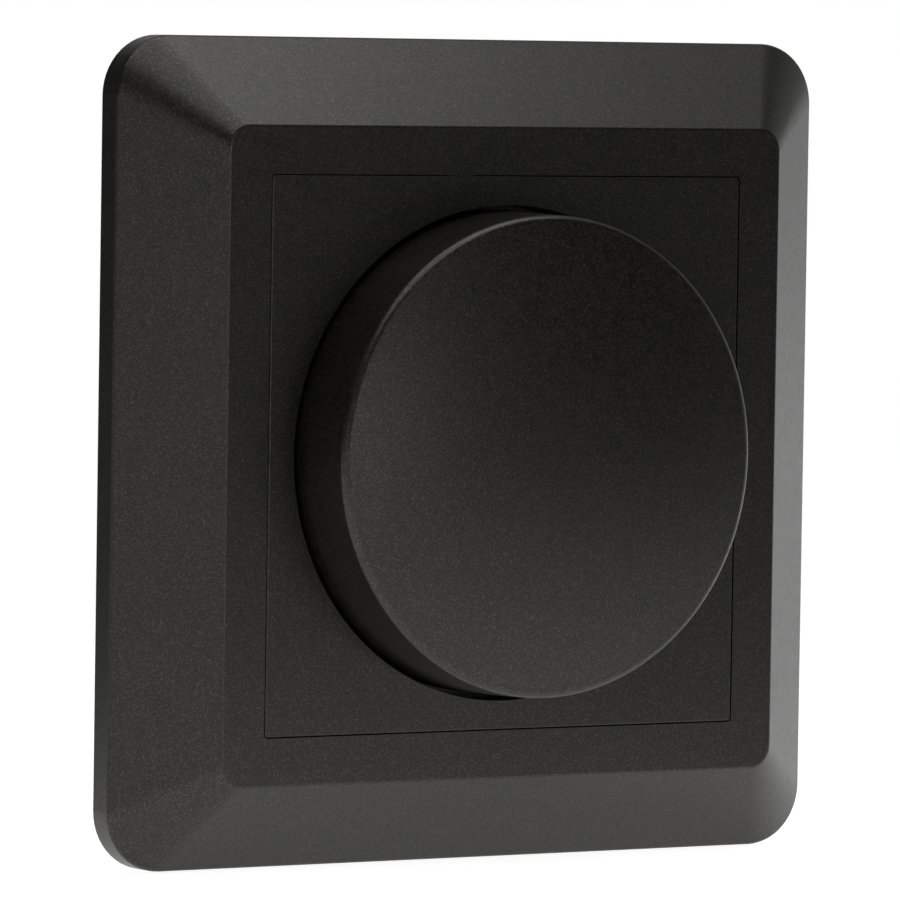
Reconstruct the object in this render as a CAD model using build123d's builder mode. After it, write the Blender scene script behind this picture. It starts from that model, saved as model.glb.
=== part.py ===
from build123d import *
import os
from math import cos, radians, sin, sqrt, tan

# Rotary dimmer switch for a flush mounting box, in millimetres.
# X runs to the right, Z up and -Y to the front. The wall's face is the plane Y = 0, and the
# dial turns about the Y axis. "Height" below means the distance in front of the wall's face,
# so a negative height lies inside the wall.

# Cover frame
frame_side = 82.0
frame_corner = 6.0
rim_height = 2.8
rim_round = 0.5
plateau_side = 64.7
plateau_corner = 2.3
plateau_height = 10.0
plateau_round = 0.4
frame_wall = 2.0
collar_wall = 1.6
ledge_width = 1.6
frame_rib = 1.2
frame_rib_offset = 18.0
screw_head_room = 9.0

# Centre plate, an insert of 55 mm with a round well for the dial
plate_side = 55.0
plate_corner = 0.35
plate_edge_round = 0.15
plate_gap = 0.1
plate_thickness = 2.0
plate_skirt = 1.5
skirt_step = 0.6
well_radius = 24.65
well_wall = 1.6
well_floor = 1.8
corner_rib = 1.2
trim_access_radius = 2.0

# Dial
dial_gap = 0.6
dial_draft = 1.0
dial_edge = 18.1
dial_crown = 1.8
dial_wall = 1.8
dial_face = 2.2
dial_edge_round = 0.75
dial_floor_gap = 0.5
hub_wall = 2.2
hub_bush_gap = 0.4
hub_slot = 0.8
hub_slot_depth = 4.0
dial_ribs = 8
dial_rib = 1.2
dial_rib_depth = 4.2
push_travel = 1.2

# Steel ring that closes the split hub on the shaft
clip_thickness = 0.6
clip_width = 1.6
clip_opening = 40.0

# Support plate with slots for the box screws, which stand 60 mm apart
support_side = 69.4
support_corner = 5.0
support_thickness = 1.2
screw_pitch = 60.0
slot_length = 7.0
slot_width = 4.2
notch_width = 7.0
notch_depth = 2.4

# Lid of the insert: a raised block through the support plate, and a flange behind it
lid_block_side = 35.4
lid_block_corner = 2.6
lid_opening_gap = 0.3
lid_rise = 2.2
lid_wall = 2.0
lid_flange = 1.8
lid_lip = 1.4
lid_lip_depth = 1.6
stake_radius = 1.3
stake_head_radius = 1.9
stake_head = 0.7
stake_x = 19.6
stake_z = 7.0
vent_width = 1.4
vent_length = 9.0
vent_pitch = 3.2

# Housing of the insert: round, with flat sides
housing_radius = 26.5
housing_width = 43.0
housing_depth = 23.5
housing_wall = 1.6
housing_floor = 1.6
housing_round = 1.0
side_vent_width = 1.4
side_vent_pitch = 4.0
side_vent_depth = 7.0
side_vent_offset = 3.6
side_vents = 5

# Screws that hold housing, circuit board and lid together
screw_x = 17.0
screw_z = 14.6
screw_radius = 1.1
screw_head_radius = 2.0
screw_head = 1.5
screw_head_sink = 1.0
screw_engagement = 7.0
cross_width = 0.5
cross_length = 2.4
cross_depth = 0.7
post_radius = 3.0
boss_radius = 2.2

# Circuit board
board_depth = 12.3
board_thickness = 1.6
loose_gap = 0.3

# Bush, washer and nut
bush_radius = 4.95
bush_chamfer = 0.5
bush_end = 8.4
bush_flange_side = 17.0
bush_flange = 1.0
bush_hole_gap = 0.15
washer_radius = 8.0
washer_thickness = 0.5
nut_across_flats = 14.0
nut_thickness = 2.0
nut_chamfer = 0.7

# Shaft
shaft_radius = 3.0
shaft_flat = 1.9
shaft_chamfer = 0.4
running_gap = 0.05
collar_radius = 4.4
collar_thickness = 1.0
collar_gap = 0.1
tail_radius = 2.0
tail_flat = 1.4

# Variable resistor: case, rotor with its stop lug, wiper and track
case_radius = 9.0
case_wall = 1.0
case_depth = 6.7
case_floor = 1.0
case_hole_radius = 2.6
rotor_radius = 6.9
rotor_rim = 1.0
rotor_disc_thickness = 1.2
rotor_front_gap = 0.3
rotor_clearance = 0.5
rotor_hub_radius = 3.5
rotor_hub_gap = 0.3
stop_lug_radius = 7.7
stop_lug_angle = 30.0
stop_rib_angle = 30.0
rib_middle = -90.0
stop_rib_gap = 0.3
stop_margin = 5.0
track_inner = 4.2
track_outer = 7.8
track_thickness = 0.8
wiper_inner = 4.4
wiper_outer = 6.6
wiper_angle = 70.0
wiper_sheet = 0.3
wiper_finger = 0.8
finger_angle = 8.0
wiper_gap = 0.2

# Push switch behind the variable resistor
switch_side = 13.0
switch_wall = 1.0
switch_floor = 1.0
plunger_gap = 0.3
plunger_thickness = 1.2
plunger_contact_gap = 0.1
plunger_stem_radius = 1.6
plunger_stem = 1.6
bridge_width = 2.0
bridge_sheet = 0.3
bridge_offset = 3.9
contact_sheet = 0.4
contact_gap = 0.25
contact_length = 2.2
spring_radius = 2.4
spring_wire = 0.22
spring_turns = 3.5

# Trimmer for the lowest level, reached through the well's floor
trim_x = 11.0
trim_z = 12.0
trim_side = 6.0
trim_height = 5.0
trim_recess_radius = 2.5
trim_recess = 1.6
trim_rotor_gap = 0.1
trim_stem_radius = 1.5
trim_stem_sink = 0.5
trim_slot = 0.6
trim_slot_depth = 0.8

# Interference choke
choke_x = -4.5
choke_z = 16.4
choke_inner = 3.4
choke_outer = 6.2
choke_core_height = 6.0
choke_wire = 0.8
choke_turns = 18
choke_fit = 0.05

# Capacitors and resistors
film_width = 7.0
film_length = 15.0
film_height = 9.8
film_x = -14.5
film_round = 0.6
timing_width = 5.0
timing_length = 3.0
timing_height = 7.0
timing_x = -8.0
timing_z = -12.4
resistor_radius = 1.1
resistor_cap_radius = 1.3
resistor_cap = 1.2
resistor_length = 5.4
resistor_x = -12.4
resistor_z = (-13.6, -10.4)
resistor_lead = 0.25
resistor_lift = 0.6

# Power switch (triac) on its cooling plate
plate_metal = 1.5
plate_metal_length = 23.0
plate_metal_gap = 0.2
plate_fold = 5.0
plate_top_gap = 0.3
triac_width = 10.0
triac_body_length = 9.2
triac_tab_length = 6.2
triac_tab = 1.3
triac_thickness = 4.4
triac_hole_radius = 1.7
triac_loose_gap = 0.2
lead_width = 0.8
lead_thickness = 0.5
lead_pitch = 2.5
lead_reach = 2.2
tab_screw_radius = 1.45
tab_screw_head_radius = 2.6
tab_screw_head = 1.6
tab_slot = 0.7

# Fuse of 5 mm diameter in two clips
fuse_x = 4.0
fuse_z = -17.4
fuse_length = 20.0
fuse_glass_radius = 2.3
fuse_cap_radius = 2.5
fuse_cap_length = 5.0
fuse_lift = 1.0
clip_sheet = 0.4
clip_strip = 3.0
clip_arm_height = 5.4

# Terminals at the back
terminal_count = 3
terminal_pitch = 8.5
terminal_block_width = 25.8
terminal_block_low = -20.5
terminal_block_high = -11.0
terminal_cell_gap = 0.1
terminal_window_gap = 0.2
terminal_recess = 0.4
terminal_back_wall = 3.0
cage_width = 6.0
cage_low = -18.6
cage_high = -12.2
wire_radius = 1.6
wire_z = -14.4
wire_guide_radius = 2.0
clamp_screw_radius = 1.25
clamp_screw_head_radius = 2.0
clamp_screw_head = 1.2
clamp_slot = 0.6
clamp_access_radius = 2.3
clamp_tip_gap = 0.2

# Heights that follow from the sizes above
bevel_run = (frame_side - plateau_side) / 2
bevel_rise = plateau_height - rim_height
bevel_slope = bevel_run / bevel_rise
bevel_lift = frame_wall * sqrt(1 + bevel_slope**2) / bevel_slope
lid_front = support_thickness + lid_rise
lid_ceiling = lid_front - lid_wall
ledge_height = lid_front + skirt_step
well_front = lid_front + well_floor
window_side = plate_side + 2 * plate_gap
window_corner = plate_corner + plate_gap
collar_side = window_side + 2 * collar_wall
ledge_side = window_side - 2 * ledge_width
dial_base = well_front + push_travel + dial_floor_gap
dial_front = dial_edge + dial_crown
dial_inner = dial_front - dial_face
dial_base_radius = well_radius - dial_gap
dial_top_radius = dial_base_radius - (dial_edge - dial_base) * tan(radians(dial_draft))
hub_radius = shaft_radius + hub_wall
hub_end = bush_end + push_travel + hub_bush_gap
board_front = -board_depth
board_back = board_front - board_thickness
housing_back = -housing_depth
housing_inside = housing_back + housing_floor
terminal_back = housing_back + terminal_recess
terminal_middle = (terminal_block_low + terminal_block_high) / 2
cell_back = terminal_back + terminal_back_wall
cage_depth = board_back - cell_back


def at(height):
    return Plane.XZ.offset(height)


# Half section through the dial's axis, with coordinates (radius, height)
section = Plane(origin=(0, 0, 0), x_dir=(1, 0, 0), z_dir=(0, 0, -1))


def edges_at(part, height):
    reach = 0.001
    return part.edges().filter_by_position(Axis.Y, -height - reach, -height + reach)


def save(part, name):
    part.label = name
    export_step(part, f"parts/{name}.step")


os.makedirs("parts", exist_ok=True)


# Cover frame: bevelled shell, with a collar and a ledge round the window
inner_side = frame_side - 2 * frame_wall
inner_corner = frame_corner - frame_wall
inner_rim = rim_height + frame_wall / bevel_slope - bevel_lift
inner_top = plateau_height - frame_wall
inner_top_side = frame_side - 2 * (inner_top + bevel_lift - rim_height) * bevel_slope

with BuildPart() as frame_pocket:
    with BuildSketch(at(0)):
        RectangleRounded(inner_side, inner_side, inner_corner)
    extrude(amount=inner_rim)
    with BuildSketch(at(inner_rim)):
        RectangleRounded(inner_side, inner_side, inner_corner)
    with BuildSketch(at(inner_top)):
        RectangleRounded(inner_top_side, inner_top_side, plateau_corner / 2)
    loft(ruled=True)
    # The collar and eight ribs stand in the pocket
    with BuildSketch(at(support_thickness)):
        Rectangle(collar_side, collar_side)
    extrude(amount=inner_top, mode=Mode.SUBTRACT)
    with BuildSketch(at(support_thickness + plate_gap)):
        for offset in (-frame_rib_offset, frame_rib_offset):
            with Locations((offset, 0)):
                Rectangle(frame_rib, frame_side)
            with Locations((0, offset)):
                Rectangle(frame_side, frame_rib)
    extrude(amount=inner_top, mode=Mode.SUBTRACT)

with BuildPart() as cover_frame:
    with BuildSketch(at(0)):
        RectangleRounded(frame_side, frame_side, frame_corner)
    extrude(amount=rim_height)
    with BuildSketch(at(rim_height)):
        RectangleRounded(frame_side, frame_side, frame_corner)
    with BuildSketch(at(plateau_height)):
        RectangleRounded(plateau_side, plateau_side, plateau_corner)
    loft(ruled=True)
    fillet(edges_at(cover_frame, rim_height), rim_round)
    fillet(edges_at(cover_frame, plateau_height), plateau_round)
    add(frame_pocket.part, mode=Mode.SUBTRACT)
    with BuildSketch(at(ledge_height)):
        RectangleRounded(window_side, window_side, window_corner)
    extrude(amount=plateau_height, mode=Mode.SUBTRACT)
    with BuildSketch(at(0)):
        RectangleRounded(ledge_side, ledge_side, plateau_corner)
    extrude(amount=plateau_height, mode=Mode.SUBTRACT)
    # Room for the heads of the box screws
    with BuildSketch(at(0)):
        Rectangle(collar_side + 2 * frame_wall, screw_head_room)
        Rectangle(screw_head_room, collar_side + 2 * frame_wall)
    extrude(amount=ledge_height, mode=Mode.SUBTRACT)

save(cover_frame.part, "cover_frame")


# Centre plate: tray whose skirt presses the frame's ledge, with the dial's well in the middle
plate_inner_side = plate_side - 2 * plate_skirt

with BuildPart() as centre_plate:
    with BuildSketch(at(ledge_height)):
        RectangleRounded(plate_side, plate_side, plate_corner)
    extrude(amount=plateau_height - ledge_height)
    fillet(edges_at(centre_plate, plateau_height), plate_edge_round)
    with BuildSketch(at(ledge_height)):
        RectangleRounded(plate_inner_side, plate_inner_side, plate_corner)
        Circle(well_radius + well_wall, mode=Mode.SUBTRACT)
        Rectangle(corner_rib, 2 * plate_side, rotation=45, mode=Mode.SUBTRACT)
        Rectangle(corner_rib, 2 * plate_side, rotation=-45, mode=Mode.SUBTRACT)
    extrude(amount=plateau_height - plate_thickness - ledge_height, mode=Mode.SUBTRACT)
    with BuildSketch(at(lid_front)):
        Circle(well_radius + well_wall)
    extrude(amount=skirt_step)
    with BuildSketch(at(well_front)):
        Circle(well_radius)
    extrude(amount=plateau_height, mode=Mode.SUBTRACT)
    with BuildSketch(at(lid_front)):
        Circle(bush_radius + bush_hole_gap)
        with Locations((trim_x, trim_z)):
            Circle(trim_access_radius)
    extrude(amount=well_floor, mode=Mode.SUBTRACT)

save(centre_plate.part, "centre_plate")


# Dial: hollow cap with a crowned face, a split hub and ribs
hub_bore = shaft_radius + running_gap
hub_flat = shaft_flat + running_gap

with BuildPart() as dial_knob:
    with BuildSketch(section):
        with BuildLine():
            TangentArc((0, dial_front), (dial_top_radius, dial_edge), tangent=(1, 0))
            Polyline(
                (dial_top_radius, dial_edge),
                (dial_base_radius, dial_base),
                (dial_base_radius - dial_wall, dial_base),
                (dial_top_radius - dial_wall, dial_edge - dial_face),
            )
            TangentArc((0, dial_inner), (dial_top_radius - dial_wall, dial_edge - dial_face), tangent=(1, 0))
            Line((0, dial_inner), (0, dial_front))
        make_face()
    revolve(axis=Axis.Y)
    fillet(edges_at(dial_knob, dial_edge), dial_edge_round)
    with BuildSketch(at(dial_inner)):
        Circle(hub_radius)
    extrude(amount=hub_end - dial_inner)
    with BuildSketch(at(dial_inner)):
        with PolarLocations(0, dial_ribs):
            with Locations(((hub_radius + dial_top_radius - dial_wall) / 2, 0)):
                Rectangle(dial_top_radius - dial_wall - hub_radius + dial_rib, dial_rib)
    extrude(amount=-dial_rib_depth)
    # D-shaped bore, and two slots that let the hub give
    with BuildSketch(at(hub_end)):
        Circle(hub_bore)
        with Locations((0, hub_bore + hub_flat)):
            Rectangle(2 * hub_bore, 2 * hub_bore, mode=Mode.SUBTRACT)
        Rectangle(2 * hub_radius, hub_slot)
    extrude(amount=hub_slot_depth, mode=Mode.SUBTRACT)
    with BuildSketch(at(hub_end)):
        Circle(hub_bore)
        with Locations((0, hub_bore + hub_flat)):
            Rectangle(2 * hub_bore, 2 * hub_bore, mode=Mode.SUBTRACT)
    extrude(amount=dial_inner - hub_end, mode=Mode.SUBTRACT)

save(dial_knob.part, "dial_knob")


# Steel ring round the hub, open at its top
clip_inner = hub_radius + running_gap

with BuildPart() as knob_clip:
    with BuildSketch(at(hub_end + running_gap)):
        Circle(clip_inner + clip_thickness)
        Circle(clip_inner, mode=Mode.SUBTRACT)
        with BuildLine():
            reach = 2 * hub_radius
            spread = reach * tan(radians(clip_opening / 2))
            Polyline((0, 0), (-spread, reach), (spread, reach), close=True)
        make_face(mode=Mode.SUBTRACT)
    extrude(amount=clip_width)

save(knob_clip.part, "knob_clip")


# Support plate
lid_opening_side = lid_block_side + 2 * lid_opening_gap

with BuildPart() as support_plate:
    with BuildSketch(at(0)):
        RectangleRounded(support_side, support_side, support_corner)
        RectangleRounded(lid_opening_side, lid_opening_side, lid_block_corner, mode=Mode.SUBTRACT)
        with Locations((-screw_pitch / 2, 0), (screw_pitch / 2, 0)):
            SlotOverall(slot_length, slot_width, mode=Mode.SUBTRACT)
        with Locations((0, -screw_pitch / 2), (0, screw_pitch / 2)):
            SlotOverall(slot_length, slot_width, rotation=90, mode=Mode.SUBTRACT)
        with Locations((-stake_x, -stake_z), (-stake_x, stake_z), (stake_x, -stake_z), (stake_x, stake_z)):
            Circle(stake_radius + running_gap, mode=Mode.SUBTRACT)
        # Notches in the plate's edges, where neighbouring plates hook together
        with Locations((-screw_pitch / 3, support_side / 2), (screw_pitch / 3, -support_side / 2)):
            Rectangle(notch_width, 2 * notch_depth, mode=Mode.SUBTRACT)
        with Locations((-support_side / 2, -screw_pitch / 3), (support_side / 2, screw_pitch / 3)):
            Rectangle(2 * notch_depth, notch_width, mode=Mode.SUBTRACT)
    extrude(amount=support_thickness)

save(support_plate.part, "support_plate")


def housing_outline(inset):
    Circle(housing_radius - inset)
    Rectangle(housing_width - 2 * inset, 2 * housing_radius, mode=Mode.INTERSECT)


def four_corners(x, z):
    return Locations((-x, -z), (-x, z), (x, -z), (x, z))


# Lid: raised block, flange, locating lip, stakes and the bosses for the housing screws
lip_outer = housing_wall + loose_gap
lip_inner = lip_outer + lid_lip
lid_inner_side = lid_block_side - 2 * lid_wall

with BuildPart() as housing_lid:
    with BuildSketch(at(-lid_flange)):
        housing_outline(0)
    extrude(amount=lid_flange)
    with BuildSketch(at(0)):
        RectangleRounded(lid_block_side, lid_block_side, lid_block_corner)
    extrude(amount=lid_front)
    with BuildSketch(at(-lid_flange - lid_lip_depth)):
        housing_outline(lip_outer)
    extrude(amount=lid_lip_depth)
    with BuildSketch(at(-lid_flange - lid_lip_depth)):
        housing_outline(lip_inner)
    extrude(amount=lid_lip_depth, mode=Mode.SUBTRACT)
    with BuildSketch(at(-lid_flange)):
        RectangleRounded(lid_inner_side, lid_inner_side, lid_block_corner / 2)
    extrude(amount=lid_flange + lid_ceiling, mode=Mode.SUBTRACT)
    with BuildSketch(at(board_front)):
        with four_corners(screw_x, screw_z):
            Circle(boss_radius)
    extrude(amount=-lid_flange - board_front)
    with BuildSketch(at(board_front)):
        with four_corners(screw_x, screw_z):
            Circle(screw_radius + running_gap)
    extrude(amount=screw_engagement, mode=Mode.SUBTRACT)
    # Pins through the support plate, with their heads formed over it
    with BuildSketch(at(0)):
        with four_corners(stake_x, stake_z):
            Circle(stake_radius)
    extrude(amount=support_thickness)
    with BuildSketch(at(support_thickness)):
        with four_corners(stake_x, stake_z):
            Circle(stake_head_radius)
    extrude(amount=stake_head)
    with BuildSketch(at(lid_ceiling)):
        Circle(bush_radius + bush_hole_gap)
        with Locations((trim_x, trim_z)):
            Circle(trim_access_radius)
        with Locations((-trim_x, -trim_z), (trim_x, -trim_z)):
            with GridLocations(vent_pitch, 0, 3, 1):
                SlotOverall(vent_length, vent_width, rotation=90)
    extrude(amount=lid_wall, mode=Mode.SUBTRACT)

save(housing_lid.part, "housing_lid")


# Housing: tub with posts for the screws, wire holes and vents
clamp_height = board_back - cage_depth / 2
head_seat = housing_back + screw_head_sink + screw_head

with BuildPart() as housing_base:
    with BuildSketch(at(housing_back)):
        housing_outline(0)
    extrude(amount=housing_depth - lid_flange)
    fillet(edges_at(housing_base, housing_back), housing_round)
    with BuildSketch(at(housing_inside)):
        housing_outline(housing_wall)
    extrude(amount=housing_depth, mode=Mode.SUBTRACT)
    with BuildSketch(at(housing_inside)):
        with four_corners(screw_x, screw_z):
            Circle(post_radius)
    extrude(amount=board_back - housing_inside)
    # Screw holes from behind, with sunk seats for the heads
    with BuildSketch(at(housing_back)):
        with four_corners(screw_x, screw_z):
            Circle(screw_head_radius + loose_gap)
    extrude(amount=head_seat - housing_back, mode=Mode.SUBTRACT)
    with BuildSketch(at(head_seat)):
        with four_corners(screw_x, screw_z):
            Circle(screw_radius + running_gap)
    extrude(amount=board_back - head_seat, mode=Mode.SUBTRACT)
    # Window that the terminal block stands in, and holes for the screwdriver
    with BuildSketch(at(housing_back)):
        with Locations((0, terminal_middle)):
            Rectangle(
                terminal_block_width + 2 * terminal_window_gap,
                terminal_block_high - terminal_block_low + 2 * terminal_window_gap,
            )
    extrude(amount=housing_floor, mode=Mode.SUBTRACT)
    with BuildSketch(Plane.XY.offset(-housing_radius)):
        with Locations((0, -clamp_height)):
            with GridLocations(terminal_pitch, 0, terminal_count, 1):
                Circle(clamp_access_radius)
    extrude(amount=housing_radius + terminal_block_low, mode=Mode.SUBTRACT)
    # Vents in the upper wall
    with BuildSketch(Plane.XY):
        with Locations((0, side_vent_offset + lid_flange + side_vent_depth / 2)):
            with GridLocations(side_vent_pitch, 0, side_vents, 1):
                SlotOverall(side_vent_depth, side_vent_width, rotation=90)
    extrude(amount=housing_radius, mode=Mode.SUBTRACT)

save(housing_base.part, "housing_base")


# Screws from behind, four alike
with BuildPart() as housing_screws:
    with BuildSketch(at(head_seat - screw_head)):
        with four_corners(screw_x, screw_z):
            Circle(screw_head_radius)
    extrude(amount=screw_head)
    with BuildSketch(at(head_seat)):
        with four_corners(screw_x, screw_z):
            Circle(screw_radius)
    extrude(amount=board_front + screw_engagement - running_gap - head_seat)
    with BuildSketch(at(head_seat - screw_head)):
        with four_corners(screw_x, screw_z):
            Rectangle(cross_length, cross_width)
            Rectangle(cross_width, cross_length)
    extrude(amount=cross_depth, mode=Mode.SUBTRACT)

save(housing_screws.part, "housing_screws")


# Circuit board across the housing
with BuildPart() as circuit_board:
    with BuildSketch(at(board_back)):
        housing_outline(housing_wall + loose_gap)
        with four_corners(screw_x, screw_z):
            Circle(screw_radius + loose_gap, mode=Mode.SUBTRACT)
    extrude(amount=board_thickness)

save(circuit_board.part, "circuit_board")


# Bush with its square flange under the lid
bush_seat = lid_ceiling - bush_flange

with BuildPart() as control_bush:
    with BuildSketch(at(bush_seat)):
        Rectangle(bush_flange_side, bush_flange_side)
    extrude(amount=bush_flange)
    with BuildSketch(at(lid_ceiling)):
        Circle(bush_radius)
    extrude(amount=bush_end - lid_ceiling)
    chamfer(edges_at(control_bush, bush_end), bush_chamfer)
    with BuildSketch(at(bush_seat)):
        Circle(shaft_radius + running_gap)
    extrude(amount=bush_end - bush_seat, mode=Mode.SUBTRACT)

save(control_bush.part, "control_bush")

with BuildPart() as bush_washer:
    with BuildSketch(at(well_front)):
        Circle(washer_radius)
        Circle(bush_radius + bush_hole_gap, mode=Mode.SUBTRACT)
    extrude(amount=washer_thickness)

save(bush_washer.part, "bush_washer")

# Nut: hexagon whose outer corners are turned off by a cone
nut_seat = well_front + washer_thickness
nut_corner = nut_across_flats / sqrt(3)

with BuildPart() as bush_nut:
    with BuildSketch(at(nut_seat)):
        RegularPolygon(nut_across_flats / 2, 6, major_radius=False)
        Circle(bush_radius + running_gap, mode=Mode.SUBTRACT)
    extrude(amount=nut_thickness)
    with BuildSketch(section):
        with BuildLine():
            Polyline(
                (0, nut_seat),
                (nut_corner, nut_seat),
                (nut_corner, nut_seat + nut_thickness - nut_chamfer / 2),
                (nut_corner - nut_chamfer, nut_seat + nut_thickness),
                (0, nut_seat + nut_thickness),
                close=True,
            )
        make_face()
    revolve(axis=Axis.Y, mode=Mode.INTERSECT)

save(bush_nut.part, "bush_nut")


# Shaft: D-shaped end for the dial, journal in the bush, collar behind it and a flat-sided tail
shaft_end = dial_inner
collar_front = bush_seat - collar_gap
collar_back = collar_front - collar_thickness
case_back = bush_seat - case_depth
tail_end = case_back - plunger_contact_gap

with BuildPart() as control_shaft:
    with BuildSketch(section):
        with BuildLine():
            Polyline(
                (0, shaft_end),
                (shaft_radius - shaft_chamfer, shaft_end),
                (shaft_radius, shaft_end - shaft_chamfer),
                (shaft_radius, collar_front),
                (collar_radius, collar_front),
                (collar_radius, collar_back),
                (tail_radius, collar_back),
                (tail_radius, tail_end),
                (0, tail_end),
                close=True,
            )
        make_face()
    revolve(axis=Axis.Y)
    with BuildSketch(at(hub_end)):
        with Locations((0, shaft_flat + shaft_radius)):
            Rectangle(2 * shaft_radius, 2 * shaft_radius)
    extrude(amount=shaft_end - hub_end, mode=Mode.SUBTRACT)
    with BuildSketch(at(tail_end)):
        Rectangle(4 * tail_radius, 4 * tail_radius)
        Rectangle(2 * tail_flat, 4 * tail_radius, mode=Mode.SUBTRACT)
    extrude(amount=collar_back - tail_end, mode=Mode.SUBTRACT)

save(control_shaft.part, "control_shaft")


def ring_sector(inner, outer, middle, width):
    reach = 2 * outer
    start = radians(middle - width / 2)
    stop = radians(middle + width / 2)
    Circle(outer)
    Circle(inner, mode=Mode.SUBTRACT)
    Polygon(
        (0, 0),
        (reach * cos(start), reach * sin(start)),
        (reach * cos(stop), reach * sin(stop)),
        align=None,
        mode=Mode.INTERSECT,
    )


# Case of the variable resistor: cup behind the bush's flange, with a stop rib inside
case_inside = case_back + case_floor
track_front = case_inside + track_thickness
case_bore = case_radius - case_wall
lug_middle = rib_middle - (stop_rib_angle + stop_lug_angle) / 2 - stop_margin

with BuildPart() as control_case:
    with BuildSketch(at(case_back)):
        Circle(case_radius)
    extrude(amount=case_depth)
    with BuildSketch(at(case_inside)):
        Circle(case_bore)
    extrude(amount=case_depth, mode=Mode.SUBTRACT)
    with BuildSketch(at(track_front)):
        ring_sector(rotor_radius + stop_rib_gap, case_bore + case_wall / 2, rib_middle, stop_rib_angle)
    extrude(amount=bush_seat - track_front)
    with BuildSketch(at(case_back)):
        Circle(case_hole_radius)
    extrude(amount=case_floor, mode=Mode.SUBTRACT)

save(control_case.part, "control_case")

with BuildPart() as track_disc:
    with BuildSketch(at(case_inside)):
        Circle(track_outer)
        Circle(track_inner, mode=Mode.SUBTRACT)
    extrude(amount=track_thickness)

save(track_disc.part, "track_disc")


# Rotor: disc with a rim, a hub that rests in the case and a lug that meets the stop rib
rotor_front = collar_back - push_travel - rotor_clearance
rotor_back = rotor_front - rotor_disc_thickness
rim_front = bush_seat - rotor_front_gap
rotor_hub_back = case_inside + rotor_hub_gap

with BuildPart() as rotor_disc:
    with BuildSketch(at(rotor_hub_back)):
        Circle(rotor_hub_radius)
    extrude(amount=rotor_back - rotor_hub_back)
    with BuildSketch(at(rotor_back)):
        Circle(rotor_radius)
    extrude(amount=rim_front - rotor_back)
    with BuildSketch(at(rotor_back)):
        ring_sector(rotor_radius - rotor_rim, stop_lug_radius, lug_middle, stop_lug_angle)
    extrude(amount=rim_front - rotor_back)
    with BuildSketch(at(rotor_front)):
        Circle(rotor_radius - rotor_rim)
    extrude(amount=rim_front - rotor_front, mode=Mode.SUBTRACT)
    with BuildSketch(at(rotor_hub_back)):
        Circle(tail_radius + running_gap)
        Rectangle(2 * (tail_flat + running_gap), 4 * tail_radius, mode=Mode.INTERSECT)
    extrude(amount=rim_front - rotor_hub_back, mode=Mode.SUBTRACT)

save(rotor_disc.part, "rotor_disc")

# Wiper: sprung sheet on the rotor's back, with two fingers towards the track
wiper_middle = lug_middle + 180

with BuildPart() as wiper:
    with BuildSketch(at(rotor_back - wiper_sheet)):
        ring_sector(wiper_inner, wiper_outer, wiper_middle, wiper_angle)
    extrude(amount=wiper_sheet)
    for side in (-1, 1):
        with BuildSketch(at(track_front + wiper_gap)):
            ring_sector(
                wiper_inner + wiper_finger / 2,
                wiper_outer - wiper_finger / 2,
                wiper_middle + side * (wiper_angle - finger_angle) / 2,
                finger_angle,
            )
        extrude(amount=rotor_back - track_front - wiper_gap)

save(wiper.part, "wiper")


# Push switch: square case, plunger that the shaft's tail pushes, bridge, contacts and spring
switch_inside_side = switch_side - 2 * switch_wall
switch_inside = board_front + switch_floor
plunger_side = switch_inside_side - 2 * plunger_gap
plunger_front = tail_end - plunger_contact_gap
plunger_back = plunger_front - plunger_thickness
bridge_back = plunger_back - bridge_sheet
contact_tip = bridge_back - push_travel - contact_gap

with BuildPart() as switch_case:
    with BuildSketch(at(board_front)):
        Rectangle(switch_side, switch_side)
    extrude(amount=case_back - board_front)
    with BuildSketch(at(switch_inside)):
        Rectangle(switch_inside_side, switch_inside_side)
    extrude(amount=case_back - switch_inside, mode=Mode.SUBTRACT)

save(switch_case.part, "switch_case")

with BuildPart() as switch_plunger:
    with BuildSketch(at(plunger_back)):
        Rectangle(plunger_side, plunger_side)
    extrude(amount=plunger_thickness)
    with BuildSketch(at(plunger_back)):
        Circle(plunger_stem_radius)
    extrude(amount=-plunger_stem)

save(switch_plunger.part, "switch_plunger")

with BuildPart() as contact_bridge:
    with BuildSketch(at(bridge_back)):
        with Locations((0, -bridge_offset)):
            Rectangle(plunger_side, bridge_width)
    extrude(amount=bridge_sheet)

save(contact_bridge.part, "contact_bridge")

with BuildPart() as switch_contacts:
    with BuildSketch(at(switch_inside)):
        for side in (-1, 1):
            with Locations((side * (plunger_side - contact_length) / 2, -bridge_offset)):
                Rectangle(contact_length, bridge_width)
    extrude(amount=contact_tip - switch_inside)
    with BuildSketch(at(switch_inside + contact_sheet)):
        for side in (-1, 1):
            with Locations((side * (plunger_side / 2 - contact_length - contact_sheet), -bridge_offset)):
                Rectangle(2 * contact_length, 2 * bridge_width)
    extrude(amount=contact_tip - switch_inside - 2 * contact_sheet, mode=Mode.SUBTRACT)

save(switch_contacts.part, "switch_contacts")

spring_low = switch_inside + spring_wire + running_gap
spring_high = plunger_back - spring_wire - running_gap
spring_pitch = (spring_high - spring_low) / spring_turns

with BuildPart() as return_spring:
    with BuildLine() as spring_line:
        Helix(
            pitch=spring_pitch,
            height=spring_high - spring_low,
            radius=spring_radius,
            center=(0, -spring_low, 0),
            direction=(0, -1, 0),
        )
    with BuildSketch(Plane(origin=spring_line.line @ 0, z_dir=spring_line.line % 0)):
        Circle(spring_wire)
    sweep(is_frenet=True)

save(return_spring.part, "return_spring")


# Trimmer: case with a round recess, and a rotor with a long stem
trim_top = board_front + trim_height
trim_stem_end = lid_ceiling - trim_stem_sink

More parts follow.
